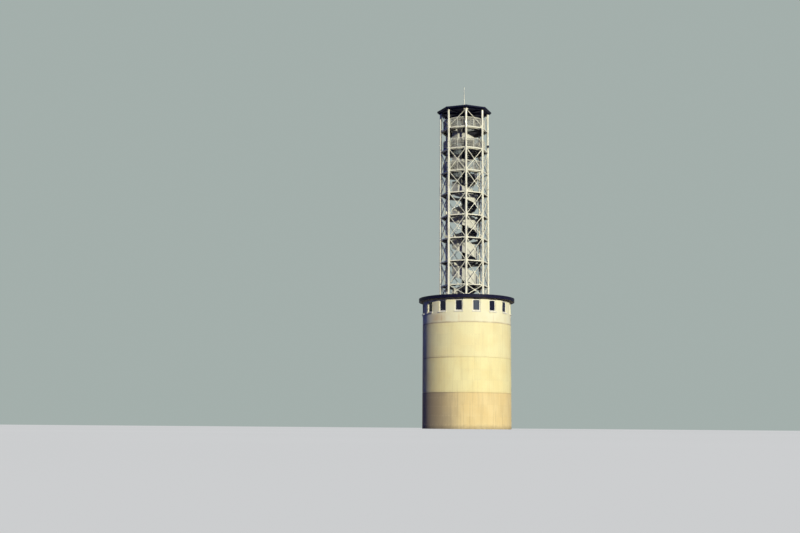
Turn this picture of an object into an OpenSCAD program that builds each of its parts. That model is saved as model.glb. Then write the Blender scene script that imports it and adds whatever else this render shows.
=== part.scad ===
// Lookout tower: an eight-sided steel lattice with a spiral stair and three viewing decks,
// standing on the flat roof of a round concrete drum with a row of windows at its top.
// Millimetres, +Z up. The origin is on the ground at the drum's axis and the front is -Y.

/* [Concrete drum] */
// Outside radius of the drum
drum_r = 5000; // [4700:50:5300]
// Thickness of the drum wall
wall_t = 300; // [220:10:400]
// Height of the top of the lowest pour of concrete
pour_1_top = 3950; // [3600:50:4300]
// Height of the top of the middle pour
pour_2_top = 7800; // [7400:50:8200]
// Height of the top of the upper pour, which is the window storey's floor
pour_3_top = 11600; // [11300:50:11900]
// Height of the wall's top, under the roof slab
wall_top = 14300; // [14100:20:14600]
// Height of the sloped edge on each side of a joint between pours
groove_h = 25; // [10:5:40]
// Depth of the groove at a joint between pours
groove_d = 25; // [10:5:40]
// Thickness of the floor inside at ground level
ground_floor_t = 200; // [150:10:300]
// Thickness of the window storey's floor
storey_floor_t = 250; // [200:10:350]

/* [Windows] */
// Number of windows round the drum
window_n = 16; // [12:1:18]
// Angle from the front to the first window on the right
window_turn = 12.6; // [0:0.1:22.5]
// Width of a window opening
window_w = 900; // [700:10:1100]
// Height of a window opening
window_h = 1320; // [1100:10:1450]
// Height of the openings above the window storey's floor
window_up = 1210; // [1000:10:1240]
// Distance from the wall's face to the window frame, at the middle of the window
reveal_d = 110; // [60:5:160]
// Width of the frame's bars
frame_w = 75; // [50:5:100]
// Depth of the frame's bars
frame_d = 80; // [60:5:100]
// Thickness of the glass unit
glass_t = 28; // [16:2:40]
// Height of the sill's nose below the opening
sill_h = 80; // [50:5:120]
// Thickness of the sill inside the opening
sill_t = 30; // [20:5:50]
// How far the sill stands out from the wall
sill_out = 70; // [40:5:120]
// How far the sill runs past the opening at each side
sill_ear = 50; // [20:5:100]

/* [Drum roof] */
// How far the roof slab runs out past the wall
roof_over = 380; // [300:10:480]
// Thickness of the roof slab
roof_slab_t = 260; // [200:10:320]
// Thickness of the metal edge outside the slab
edge_t = 50; // [30:5:70]
// How far the metal edge stands above the slab
edge_up = 70; // [30:5:120]
// How far the metal edge hangs below the slab
edge_down = 30; // [10:5:60]
// How far the metal edge turns in over and under the slab
edge_turn_in = 120; // [60:10:200]

/* [Lattice] */
// Radius of the circle through the post centres
post_ring_r = 2740; // [2640:20:2840]
// Radius of a post
post_r = 120; // [100:5:140]
// Distance of the lattice's axis from the drum's, towards the left
lattice_left = 250; // [0:10:400]
// Angle from the front to the front post, towards the right
lattice_turn = 4.5; // [0:0.5:10]
// Side of a post's foot plate
foot_w = 420; // [340:10:480]
// Thickness of a foot plate
foot_t = 40; // [25:5:60]
// Height of the stiffeners on a foot plate
foot_rib_h = 180; // [120:10:240]
// Thickness of those stiffeners
foot_rib_t = 20; // [12:2:30]
// Height of the level beams in the eight sides
beam_h = 120; // [90:10:160]
// Depth of the level beams
beam_d = 100; // [80:10:120]
// Width of the diagonal bars
diagonal_w = 62; // [40:2:80]
// Width of the single braces under the lookout roof
brace_w = 50; // [40:2:70]
// Width of a joint plate beyond the post
joint_w = 140; // [100:10:200]
// Height of a joint plate
joint_h = 300; // [240:10:400]
// Thickness of a joint plate
joint_t = 16; // [10:2:24]
// Width of the spokes at each level
spoke_w = 80; // [60:5:120]
// Height of the spokes
spoke_h = 130; // [100:10:160]

/* [Stair] */
// Radius of the centre column
column_r = 260; // [200:10:300]
// Distance from the axis to the inner face of the stair's railing
stair_r = 1380; // [1300:10:1400]
// Height of one rise
rise = 175; // [165:1:180]
// Number of sides that the stair's railing has in one turn, with two treads to a side
stair_sides = 9; // [8:1:10]
// Angle of the first tread from +X
stair_start = 160; // [140:1:180]
// Thickness of a tread
tread_t = 45; // [30:5:60]
// Angle by which a tread runs under the next one
tread_lap = 1.5; // [0:0.5:3]
// Depth of the stair's string below the line of the noses
string_down = 265; // [240:5:300]
// Height of the string above the line of the noses
string_up = 35; // [10:5:60]
// Rises from the drum's roof to the first level
first_rises = 9; // [8:1:10]
// Rises from one level to the next
bay_rises = 15; // [14:1:16]
// Number of bays between the first level and the middle deck
bays = 6; // [5:1:6]
// How far the levels between the first one and the lower deck stand above an even spacing
mid_lift = 100; // [0:10:150]
// Rises from the middle deck to the top deck
top_rises = 14; // [13:1:15]

/* [Decks] */
// Number of the lattice's sides that the lower deck covers, from the back by the left to the front
lower_sides = 5; // [5:1:6]
// Gap between a round deck's edge and the level beams outside it
deck_gap = 21; // [10:1:60]
// Radius of the stair's well through the decks
well_r = 1560; // [1550:5:1620]
// Thickness of the floor plates
plate_t = 40; // [30:5:60]
// Height of the band round a deck's edge
band_h = 200; // [120:10:260]
// Thickness of that band
band_t = 12; // [8:2:20]
// Angle that the top landing covers beside the stair's end
landing_span = 103.5; // [90:0.5:120]
// Angle from the top landing's ends to the beams under it
landing_beam_turn = 8; // [6:1:15]
// Height of the railings
rail_h = 1100; // [1000:10:1200]
// Width of the railings' posts and rails
rail_w = 40; // [30:5:50]
// Height of the gap under a railing's bottom rail
rail_gap = 70; // [40:5:110]
// Thickness of the stair railing's sheets
sheet_t = 8; // [4:1:12]
// Side of the upright bars in the decks' railings
bar_w = 18; // [12:1:24]
// Number of bars in a panel at a deck's edge
outer_bars = 8; // [6:1:9]
// Number of bars in a panel beside the stair's well
inner_bars = 5; // [4:1:6]
// Number of bars in the panel at each end of the lower deck
end_bars = 6; // [5:1:7]
// Number of bars in the panel beside the top landing
landing_bars = 10; // [8:1:12]
// Gap between neighbouring railing panels
panel_gap = 12; // [6:2:20]

/* [Lookout roof and mast] */
// Height from the top deck to the underside of the roof frame
lookout_h = 2060; // [1900:10:2200]
// Height of the roof frame's beams
rafter_h = 130; // [100:10:160]
// Width of the roof frame's beams
rafter_w = 80; // [60:5:100]
// How far the roof frame's hub stands out past the centre column
hub_out = 80; // [50:5:120]
// How far the roof's corners reach past the middle of the posts
eave_over = 420; // [300:20:520]
// Thickness of the soffit boards
soffit_t = 30; // [20:5:50]
// Height of the roof's edge
eave_h = 150; // [100:10:200]
// Height of the roof's peak above its edge
peak_h = 420; // [300:10:520]
// Thickness of the roof covering
cover_t = 40; // [30:5:60]
// Height of the mast above the peak
mast_h = 2640; // [2200:20:2700]
// Radius of the mast
mast_r = 42; // [30:2:60]
// Radius of the mast's socket
socket_r = 90; // [70:5:120]
// Height of the mast's socket
socket_h = 160; // [100:10:220]

/* [Lamp on the right post] */
// Height of the lamp's arm above the middle deck
lamp_up = 640; // [500:20:1000]
// Length of the lamp's arm
lamp_arm = 80; // [60:5:160]
// Height and depth of the lamp's housing
lamp_w = 180; // [120:10:220]
// Length of the lamp's housing
lamp_l = 250; // [180:10:320]

/* [Hidden] */

concrete = [0.86, 0.82, 0.68];
dark_concrete = [0.62, 0.54, 0.42];
render = [0.90, 0.87, 0.76];
white_paint = [0.90, 0.89, 0.84];
glass_tint = [0.12, 0.15, 0.24, 0.8];
dark_metal = [0.10, 0.11, 0.17];
steel = [0.82, 0.81, 0.75];
plate_grey = [0.34, 0.34, 0.36];
sheet_grey = [0.68, 0.66, 0.60];

// Facets of the preview's round faces: the drum, its short arcs, the decks and the tubes
$fn = 96;
nose_fn = 480;
deck_fn = 240;
tube_fn = 32;

// Clearance between a round face and what is set against it
fit_gap = 0.5;
// Gap between a brace's lower plate and the beam under it
brace_gap = 10;
// How far a stair sheet runs into the bars round it
sheet_hold = rail_w / 2;

// Drum
inner_r = drum_r - wall_t;
roof_top = wall_top + roof_slab_t;
slab_r = drum_r + roof_over;
window_a = -90 + window_turn;
window_z = pour_3_top + window_up;
window_top = window_z + window_h;

// Lattice
sides = 8;
side_turn = 360 / sides;
post_a = -90 + lattice_turn;
side_r = post_ring_r * cos(side_turn / 2);
half_side = post_ring_r * sin(side_turn / 2);
deck_r = side_r - beam_d / 2 - deck_gap;
eave_r = post_ring_r + eave_over;
hub_r = column_r + hub_out;
first_level = roof_top + first_rises * rise;
lower_level = first_level + (bays - 1) * bay_rises * rise;
middle_level = first_level + bays * bay_rises * rise;
top_level = middle_level + top_rises * rise;
frame_z = top_level + lookout_h;
soffit_z = frame_z + rafter_h;
base_level = roof_top + foot_t + foot_rib_h + beam_h;

// Stair
side_angle = 360 / stair_sides;
tread_angle = side_angle / 2;
half_string = stair_r * tan(tread_angle);
treads = first_rises + bays * bay_rises + top_rises - 1;
flights = 4;
flight_treads = ceil(treads / flights / 2) * 2;
stair_end = stair_start - treads * tread_angle;

// The lower deck starts at the post at the back
lower_first = sides / 2;

// Railings round the decks have two panels to a side of the lattice
deck_panels = 2 * sides;
panel_turn = 360 / deck_panels;
outer_rail_r = (deck_r - band_t) * cos(panel_turn / 2) - rail_w;
inner_corner_r = (well_r + panel_gap + rail_w) / cos(panel_turn / 2);

function level_z(i) = first_level + i * bay_rises * rise + (i > 0 && i < bays - 1 ? mid_lift : 0);
function nose_z(i) = roof_top + (i + 1) * rise;
function turn_gap(a, b) = abs(((a - b) % 360 + 540) % 360 - 180);
// The stair's open side at a deck is the one that holds the tread at the deck's height
function exit_side(level) = floor((round((level - roof_top) / rise) - 1) / 2);
function exit_angle(level) = stair_start - (exit_side(level) + 0.5) * side_angle;
function is_exit(j) = j == exit_side(lower_level) || j == exit_side(middle_level);

// The lattice and all that it carries stand beside the drum's axis
module on_lattice_axis() {
    translate([-lattice_left, 0, 0])
    children();
}

module around(angle, radius = 0) {
    rotate([0, 0, angle])
    translate([radius, 0, 0])
    children();
}

// An outline drawn in the tangent and height directions, given a thickness outwards
module upright(thickness) {
    rotate([90, 0, 90])
    linear_extrude(thickness)
    children();
}

// Concrete drum

// One pour of the wall, with sloped edges where a joint with another pour is below or above
module pour(z0, z1, below, above) {
    low = below ? groove_h : 0;
    high = above ? groove_h : 0;
    rotate_extrude()
    polygon([
        [inner_r, z0],
        [drum_r - (below ? groove_d : 0), z0],
        [drum_r, z0 + low],
        [drum_r, z1 - high],
        [drum_r - (above ? groove_d : 0), z1],
        [inner_r, z1]
    ]);
}

// Floors inside the wall, at the ground and under the row of windows
module drum_floors() {
    color(concrete) {
        cylinder(r = inner_r, h = ground_floor_t);
        translate([0, 0, pour_3_top - storey_floor_t])
        cylinder(r = inner_r, h = storey_floor_t);
    }
}

module drum_wall_lower() {
    color(dark_concrete)
    pour(0, pour_1_top, false, true);
}

module drum_wall_middle() {
    color(concrete)
    pour(pour_1_top, pour_2_top, true, true);
}

module drum_wall_upper() {
    color(concrete)
    pour(pour_2_top, pour_3_top, true, true);
}

module at_windows() {
    for (i = [0 : window_n - 1])
        rotate([0, 0, window_a + i * 360 / window_n])
        children();
}

// Wall of the window storey: a parapet ring, piers between the windows and a ring over them
module window_parapet() {
    color(render)
    pour(pour_3_top, window_z, true, false);
}

module window_piers() {
    color(render)
    difference() {
        pour(window_z, window_top, false, false);
        at_windows()
            translate([inner_r / 2, -window_w / 2, pour_3_top])
            cube([drum_r, window_w, wall_top - pour_3_top]);
    }
}

module window_lintels() {
    color(render)
    pour(window_top, wall_top, false, false);
}

// Frames stand behind the reveal, between the sill and the opening's head
frame_face = drum_r - reveal_d;
frame_z0 = window_z + sill_t;
frame_h = window_h - sill_t;

module window_frames() {
    color(white_paint)
    at_windows()
        translate([frame_face - frame_d, 0, frame_z0])
        upright(frame_d)
        difference() {
            translate([-window_w / 2, 0])
            square([window_w, frame_h]);
            translate([-window_w / 2 + frame_w, frame_w])
            square([window_w - 2 * frame_w, frame_h - 2 * frame_w]);
        }
}

module window_glass() {
    color(glass_tint)
    at_windows()
        translate([frame_face - (frame_d + glass_t) / 2, -window_w / 2 + frame_w, frame_z0 + frame_w])
        cube([glass_t, window_w - 2 * frame_w, frame_h - 2 * frame_w]);
}

// A sill lies in the opening under the frame and its nose hooks over the wall's face
module window_sills() {
    nose_w = window_w + 2 * sill_ear;
    color(white_paint)
    at_windows() {
        translate([frame_face - frame_d, -window_w / 2, window_z])
        cube([reveal_d + frame_d, window_w, sill_t]);
        difference() {
            translate([frame_face, -nose_w / 2, window_z - sill_h])
            cube([reveal_d + sill_out, nose_w, sill_h + sill_t]);
            translate([0, 0, window_z - 2 * sill_h])
            cylinder(r = drum_r + fit_gap, h = sill_t + 4 * sill_h, $fn = nose_fn);
        }
    }
}

module drum_roof() {
    color(concrete)
    translate([0, 0, wall_top])
    cylinder(r = slab_r, h = roof_slab_t);
}

// Folded metal edge, one turned profile that grips the slab above and below
module drum_roof_edge() {
    turn_in = slab_r - edge_turn_in;
    color(dark_metal)
    rotate_extrude()
    polygon([
        [turn_in, wall_top - edge_down / 2],
        [slab_r - edge_t / 2, wall_top - edge_down],
        [slab_r + edge_t, wall_top - edge_down],
        [slab_r + edge_t, roof_top + edge_up],
        [slab_r, roof_top + edge_up],
        [turn_in, roof_top + edge_up / 4],
        [turn_in, roof_top],
        [slab_r, roof_top],
        [slab_r, wall_top],
        [turn_in, wall_top]
    ]);
}

// Lattice

module at_posts() {
    for (i = [0 : sides - 1])
        around(post_a + i * side_turn, post_ring_r)
        children();
}

module post_feet() {
    rib_reach = foot_w / 2 - post_r;
    color(steel)
    at_posts()
        translate([0, 0, roof_top]) {
            translate([-foot_w / 2, -foot_w / 2, 0])
            cube([foot_w, foot_w, foot_t]);
            difference() {
                for (a = [0 : 90 : 270])
                    rotate([0, 0, a])
                    translate([0, foot_rib_t / 2, foot_t])
                    rotate([90, 0, 0])
                    linear_extrude(foot_rib_t)
                    polygon([
                        [0, 0],
                        [post_r + rib_reach, 0],
                        [post_r + rib_reach, foot_rib_t],
                        [post_r + foot_rib_t, foot_rib_h],
                        [0, foot_rib_h]
                    ]);
                cylinder(r = post_r, h = 2 * foot_rib_h, $fn = tube_fn);
            }
        }
}

module posts() {
    color(steel)
    at_posts()
        translate([0, 0, roof_top + foot_t])
        cylinder(r = post_r, h = frame_z - roof_top - foot_t, $fn = tube_fn);
}

// A diagonal bar between two corners of a bay, as an outline in the side's plane
module diagonal(x0, z0, x1, z1, width = diagonal_w) {
    length = norm([x1 - x0, z1 - z0]);
    translate([x0, z0])
    rotate(atan2(z1 - z0, x1 - x0))
    translate([0, -width / 2])
    square([length, width]);
}

// The heights of the beams' tops in a side, from the foot to the middle deck
beam_tops = concat([base_level], [for (i = [0 : bays]) level_z(i)]);

// One flat side: beams, crossed diagonals and joint plates between two posts
module lattice_side(k) {
    middles = [for (z = beam_tops) z - beam_h / 2];
    color(steel)
    around(post_a + (k + 0.5) * side_turn, side_r)
    difference() {
        union() {
            for (z = beam_tops)
                translate([-beam_d / 2, -half_side, z - beam_h])
                cube([beam_d, 2 * half_side, beam_h]);
            translate([-diagonal_w / 2, 0, 0])
            upright(diagonal_w)
            for (i = [0 : len(middles) - 2]) {
                diagonal(-half_side, middles[i], half_side, middles[i + 1]);
                diagonal(half_side, middles[i], -half_side, middles[i + 1]);
            }
            translate([-joint_t / 2, 0, 0])
            upright(joint_t)
            for (z = middles, s = [-1, 1])
                joint_plate(z, s, z == middles[len(middles) - 1], z == middles[0]);
        }
        between_posts();
    }
}

// The two posts beside a side, in the side's own place
module between_posts() {
    for (s = [-1, 1])
        translate([0, s * half_side, 0])
        cylinder(r = post_r, h = 2 * soffit_z, $fn = tube_fn);
}

// A joint plate beside a post, cut to a half where there is a bay on one side only
module joint_plate(z, s, is_top, is_base) {
    up = is_top ? beam_h / 2 : joint_h / 2;
    down = is_base ? beam_h / 2 : joint_h / 2;
    narrow = joint_w / 2;
    x = half_side - post_r;
    polygon([
        [s * half_side, z - down],
        [s * (x - (is_base ? joint_w : narrow)), z - down],
        [s * (x - joint_w), z - min(down, joint_h / 4)],
        [s * (x - joint_w), z + min(up, joint_h / 4)],
        [s * (x - (is_top ? joint_w : narrow)), z + up],
        [s * half_side, z + up]
    ]);
}

// Over the middle deck the sides are open: a beam at the top deck's floor and, in the storey
// above it, one brace to a side that falls from the top of every second post
module lookout_bracing() {
    color(steel)
    for (k = [0 : sides - 1])
        around(post_a + (k + 0.5) * side_turn, side_r)
        difference() {
            union() {
                translate([-beam_d / 2, -half_side, top_level - beam_h])
                cube([beam_d, 2 * half_side, beam_h]);
                lookout_brace(k % 2 == 0 ? -1 : 1);
            }
            between_posts();
        }
}

// A brace with a plate at each end, its upper end at the post on the side that s names
module lookout_brace(s) {
    plate_h = joint_h / 2;
    foot_z = top_level + brace_gap;
    x = half_side - post_r - joint_w;
    translate([-brace_w / 2, 0, 0])
    upright(brace_w)
    diagonal(s * half_side, frame_z - plate_h / 2, -s * half_side, foot_z + plate_h / 2, brace_w);
    translate([-joint_t / 2, 0, 0])
    upright(joint_t)
    for (end = [[s, frame_z - plate_h], [-s, foot_z]])
        polygon([
            [end[0] * half_side, end[1]],
            [end[0] * x, end[1]],
            [end[0] * x, end[1] + plate_h],
            [end[0] * half_side, end[1] + plate_h]
        ]);
}

// Spokes run from the stair's well to the posts
module spokes(level, first, last) {
    for (i = [first : last])
        around(post_a + i * side_turn, well_r)
        translate([0, -spoke_w / 2, level - spoke_h])
        cube([post_ring_r - post_r - well_r, spoke_w, spoke_h]);
}

module level_spokes() {
    color(steel) {
        for (i = [0 : bays - 2])
            spokes(level_z(i), 0, sides - 1);
        spokes(lower_level, lower_first, lower_first + lower_sides);
        spokes(middle_level, 0, sides - 1);
        spokes(top_level, 0, sides - 1);
    }
}

// The outline of a floor plate between two spokes, from the well out to a given shape
module plate_outline(k) {
    intersection() {
        difference() {
            children();
            circle(r = well_r, $fn = deck_fn);
        }
        around(post_a + (k + 0.5) * side_turn) {
            far = spoke_w / 2 / sin(side_turn / 2);
            polygon([
                [far, 0],
                [far + 2 * deck_r, -2 * deck_r * tan(side_turn / 2)],
                [far + 2 * deck_r, 2 * deck_r * tan(side_turn / 2)]
            ]);
        }
    }
}

// Service plates at the lower levels fill the ring between the stair's well and the sides
module level_plates() {
    plate_r = (side_r - beam_d / 2) / cos(side_turn / 2);
    color(plate_grey)
    for (i = [0 : bays - 2], k = [0 : sides - 1])
        translate([0, 0, level_z(i) - plate_t])
        linear_extrude(plate_t)
        plate_outline(k)
        rotate(post_a)
        circle(r = plate_r, $fn = sides);
}

module centre_column() {
    color(steel)
    translate([0, 0, roof_top])
    cylinder(r = column_r, h = frame_z - roof_top, $fn = tube_fn);
}

// Spiral stair, rising clockwise seen from above

// The point of the railing's inner face in a direction seen from the axis
function rail_point(a) =
    let (turn = ((a - stair_start) % side_angle + side_angle) % side_angle)
    stair_r / cos(turn - side_angle / 2) * [cos(a), sin(a)];

// A tread reaches from the column to the railing and runs a little under the next one
module tread(i) {
    a = stair_start - i * tread_angle;
    at_corner = i % 2 == 0;
    translate([0, 0, nose_z(i) - tread_t])
    linear_extrude(tread_t)
    difference() {
        polygon(concat(
            [[0, 0], rail_point(a - tread_angle)],
            at_corner ? [rail_point(a)] : [],
            [rail_point(a + tread_lap)]
        ));
        circle(r = column_r, $fn = tube_fn);
    }
}

module stair_treads(flight) {
    first = (flight - 1) * flight_treads;
    color(plate_grey)
    for (i = [first : min(first + flight_treads, treads) - 1])
        tread(i);
}

// A band that follows the slope of the stair along one side of its railing
module sloped_band(half, low, high) {
    climb = rise * half / half_string;
    polygon([
        [-half, low + climb],
        [half, low - climb],
        [half, high - climb],
        [-half, high + climb]
    ]);
}

// One side of the stair's railing: string, posts, sheet and handrail over two treads
module stair_panel(j) {
    middle = nose_z(2 * j) + rise;
    half = half_string - panel_gap / 2;
    open = is_exit(j);
    around(stair_start - (j + 0.5) * side_angle, stair_r) {
        upright(rail_w)
        intersection() {
            union() {
                sloped_band(half, middle - string_down, middle + (open ? -rise : string_up));
                if (!open) {
                    sloped_band(half, middle + rail_h - rail_w, middle + rail_h);
                    for (s = [-1, 1])
                        translate([s * (half - rail_w / 2), 0])
                        sloped_post(s);
                }
            }
            translate([-half, roof_top])
            square([2 * half, soffit_z]);
        }
        if (!open)
            translate([(rail_w - sheet_t) / 2, 0, 0])
            upright(sheet_t)
            sloped_band(
                half - rail_w + sheet_hold,
                middle + string_up - sheet_hold,
                middle + rail_h - rail_w + sheet_hold
            );
    }

    module sloped_post(s) {
        z = middle - s * rise * (half - rail_w / 2) / half_string;
        translate([-rail_w / 2, z])
        square([rail_w, rail_h - rail_w / 2]);
    }
}

module stair_rails(flight) {
    first = (flight - 1) * flight_treads / 2;
    last = min(first + flight_treads / 2, treads / 2) - 1;
    color(sheet_grey)
    for (j = [first : last])
        stair_panel(j);
}

// Plates by which one steps from the stair to a deck, and the landing at the stair's end
module stair_landings() {
    color(plate_grey) {
        threshold(lower_level);
        threshold(middle_level);
        top_landing();
    }
}

// A plate round part of the column at the top deck, on a beam near each of its ends
module top_landing() {
    steps = 6;
    difference() {
        intersection() {
            union() {
                translate([0, 0, top_level - plate_t])
                linear_extrude(plate_t)
                rotate(stair_end - landing_span)
                polygon(concat([[0, 0]], [
                    for (i = [0 : steps])
                        2 * well_r * [cos(landing_span * i / steps), sin(landing_span * i / steps)]
                ]));
                for (a = [landing_beam_turn, landing_span - landing_beam_turn])
                    around(stair_end - a)
                    translate([0, -rail_w / 2, top_level - spoke_h])
                    cube([2 * well_r, rail_w, spoke_h - plate_t / 2]);
            }
            cylinder(r = well_r, h = soffit_z, $fn = deck_fn);
        }
        cylinder(r = column_r, h = soffit_z, $fn = tube_fn);
    }
}

module threshold(level) {
    translate([0, 0, level - plate_t])
    linear_extrude(plate_t)
    intersection() {
        circle(r = well_r, $fn = deck_fn);
        around(exit_angle(level), stair_r + rail_w)
        translate([0, -half_string + panel_gap])
        square([well_r, 2 * (half_string - panel_gap)]);
    }
}

// Decks and their railings

// Floor plates of a round deck, each with its piece of the band round the edge
module deck(level, first, last) {
    for (k = [first : last]) {
        translate([0, 0, level - plate_t])
        linear_extrude(plate_t)
        plate_outline(k)
        circle(r = deck_r, $fn = deck_fn);
        translate([0, 0, level - band_h])
        linear_extrude(band_h)
        plate_outline(k)
        difference() {
            circle(r = deck_r, $fn = deck_fn);
            circle(r = deck_r - band_t, $fn = deck_fn);
        }
    }
}

module deck_lower() {
    color(steel)
    deck(lower_level, lower_first, lower_first + lower_sides - 1);
}

module deck_middle() {
    color(steel)
    deck(middle_level, 0, sides - 1);
}

module deck_top() {
    color(steel)
    deck(top_level, 0, sides - 1);
}

// A flat railing panel with upright bars, its inner face on the local origin plane
module rail_panel(length, bars) {
    half = length / 2;
    pitch = (length - 2 * rail_w) / (bars + 1);
    upright(rail_w)
    difference() {
        translate([-half, 0])
        square([length, rail_h]);
        translate([-half + rail_w, rail_gap + rail_w])
        square([length - 2 * rail_w, rail_h - rail_gap - 2 * rail_w]);
        translate([-half + rail_w, 0])
        square([length - 2 * rail_w, rail_gap]);
    }
    for (i = [1 : bars])
        translate([
            (rail_w - bar_w) / 2,
            -half + rail_w + i * pitch - bar_w / 2,
            rail_gap + rail_w / 2
        ])
        cube([bar_w, bar_w, rail_h - rail_gap - rail_w]);
}

function panel_angle(m) = post_a + (m + 0.5) * panel_turn;

module outer_rail(first, last) {
    length = 2 * outer_rail_r * tan(panel_turn / 2) - panel_gap;
    for (m = [first : last])
        around(panel_angle(m), outer_rail_r)
        rail_panel(length, outer_bars);
}

module inner_rail(m) {
    around(panel_angle(m), well_r + panel_gap)
    rail_panel(2 * (well_r + panel_gap) * tan(panel_turn / 2) - panel_gap, inner_bars);
}

// A straight panel along a radius, its face moved sideways from the radius
module cross_rail(angle, from_r, to_r, shift, bars) {
    around(angle, (from_r + to_r) / 2)
    translate([0, shift, 0])
    rotate([0, 0, 90])
    rail_panel(to_r - from_r, bars);
}

module deck_lower_rail() {
    first = 2 * lower_first;
    last = first + 2 * lower_sides - 1;
    color(sheet_grey)
    translate([0, 0, lower_level]) {
        outer_rail(first, last);
        for (m = [first : last])
            if (turn_gap(panel_angle(m), exit_angle(lower_level)) > panel_turn)
                inner_rail(m);
        for (a = [panel_angle(first) - panel_turn / 2, panel_angle(last) + panel_turn / 2])
            cross_rail(a, inner_corner_r + panel_gap, outer_rail_r - panel_gap, -rail_w / 2, end_bars);
    }
}

module deck_middle_rail() {
    color(sheet_grey)
    translate([0, 0, middle_level]) {
        outer_rail(0, deck_panels - 1);
        for (m = [0 : deck_panels - 1])
            if (turn_gap(panel_angle(m), exit_angle(middle_level)) > panel_turn)
                inner_rail(m);
    }
}

module deck_top_rail() {
    landing_middle = stair_end - landing_span / 2;
    color(sheet_grey)
    translate([0, 0, top_level]) {
        outer_rail(0, deck_panels - 1);
        for (m = [0 : deck_panels - 1])
            if (turn_gap(panel_angle(m), landing_middle) > landing_span / 2)
                inner_rail(m);
        cross_rail(
            stair_end - landing_span,
            column_r + panel_gap,
            well_r - panel_gap,
            0,
            landing_bars
        );
    }
}

// Lookout roof and mast

module roof_octagon(radius, height) {
    rotate([0, 0, post_a])
    cylinder(r = radius, h = height, $fn = sides);
}

// Rafters that run from a hub on the column out over the posts, and a ring of beams
module roof_frame() {
    ring_r = post_ring_r + rafter_w / 2;
    rafter_reach = eave_r - 2 * rafter_w;
    color(dark_metal)
    translate([0, 0, frame_z])
    linear_extrude(rafter_h)
    rotate(post_a) {
        difference() {
            circle(r = ring_r, $fn = sides);
            circle(r = ring_r - rafter_w, $fn = sides);
        }
        circle(r = hub_r, $fn = tube_fn);
        for (i = [0 : sides - 1])
            rotate(i * side_turn)
            translate([hub_r - rafter_w, -rafter_w / 2])
            square([rafter_reach - hub_r + rafter_w, rafter_w]);
    }
}

module roof_soffit() {
    color(dark_metal)
    translate([0, 0, soffit_z])
    roof_octagon(eave_r - cover_t, soffit_t);
}

// The low pyramid of the roof, one folded profile over the soffit with an upright edge
module roof_cover() {
    edge_top = soffit_z + eave_h;
    peak_z = edge_top + peak_h;
    color(dark_metal)
    rotate([0, 0, post_a])
    rotate_extrude($fn = sides)
    polygon([
        [0, peak_z],
        [socket_r, peak_z],
        [eave_r, edge_top],
        [eave_r, soffit_z],
        [eave_r - cover_t, soffit_z],
        [eave_r - cover_t, edge_top - cover_t],
        [socket_r, peak_z - cover_t],
        [0, peak_z - cover_t]
    ]);
}

module mast() {
    z = soffit_z + eave_h + peak_h;
    color(steel)
    translate([0, 0, z]) {
        cylinder(r = socket_r, h = socket_h, $fn = tube_fn);
        cylinder(r = mast_r, h = mast_h * 0.62, $fn = tube_fn);
        cylinder(r = mast_r * 0.6, h = mast_h, $fn = tube_fn);
    }
}

// Small lamp that stands out from the right post towards the front

module post_lamp() {
    clamp_t = 12;
    arm_w = 40;
    z = middle_level + lamp_up;
    color(dark_metal)
    around(post_a + 2 * side_turn, post_ring_r)
    translate([0, 0, z])
    rotate([0, 0, -90]) {
        difference() {
            cylinder(r = post_r + clamp_t, h = 2 * arm_w, center = true, $fn = tube_fn);
            cylinder(r = post_r, h = 4 * arm_w, center = true, $fn = tube_fn);
        }
        translate([post_r + clamp_t / 2, -arm_w / 2, -arm_w / 2])
        cube([lamp_arm, arm_w, arm_w]);
        translate([post_r + lamp_arm, -lamp_l / 2, -lamp_w / 2])
        cube([lamp_w, lamp_l, lamp_w]);
    }
}

drum_floors();
drum_wall_lower();
drum_wall_middle();
drum_wall_upper();
window_parapet();
window_piers();
window_lintels();
window_frames();
window_glass();
window_sills();
drum_roof();
drum_roof_edge();
on_lattice_axis() post_feet();
on_lattice_axis() posts();
on_lattice_axis() lattice_side(0);  // lattice_side_1
on_lattice_axis() lattice_side(1);  // lattice_side_2
on_lattice_axis() lattice_side(2);  // lattice_side_3
on_lattice_axis() lattice_side(3);  // lattice_side_4
on_lattice_axis() lattice_side(4);  // lattice_side_5
on_lattice_axis() lattice_side(5);  // lattice_side_6
on_lattice_axis() lattice_side(6);  // lattice_side_7
on_lattice_axis() lattice_side(7);  // lattice_side_8
on_lattice_axis() lookout_bracing();
on_lattice_axis() level_spokes();
on_lattice_axis() level_plates();
on_lattice_axis() centre_column();
on_lattice_axis() stair_treads(1);  // stair_treads_1
on_lattice_axis() stair_treads(2);  // stair_treads_2
on_lattice_axis() stair_treads(3);  // stair_treads_3
on_lattice_axis() stair_treads(4);  // stair_treads_4
on_lattice_axis() stair_rails(1);  // stair_rails_1
on_lattice_axis() stair_rails(2);  // stair_rails_2
on_lattice_axis() stair_rails(3);  // stair_rails_3
on_lattice_axis() stair_rails(4);  // stair_rails_4
on_lattice_axis() stair_landings();
on_lattice_axis() deck_lower();
on_lattice_axis() deck_middle();
on_lattice_axis() deck_top();
on_lattice_axis() deck_lower_rail();
on_lattice_axis() deck_middle_rail();
on_lattice_axis() deck_top_rail();
on_lattice_axis() roof_frame();
on_lattice_axis() roof_soffit();
on_lattice_axis() roof_cover();
on_lattice_axis() mast();
on_lattice_axis() post_lamp();
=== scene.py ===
import math
import random
import bpy
from mathutils import Matrix, Vector


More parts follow.
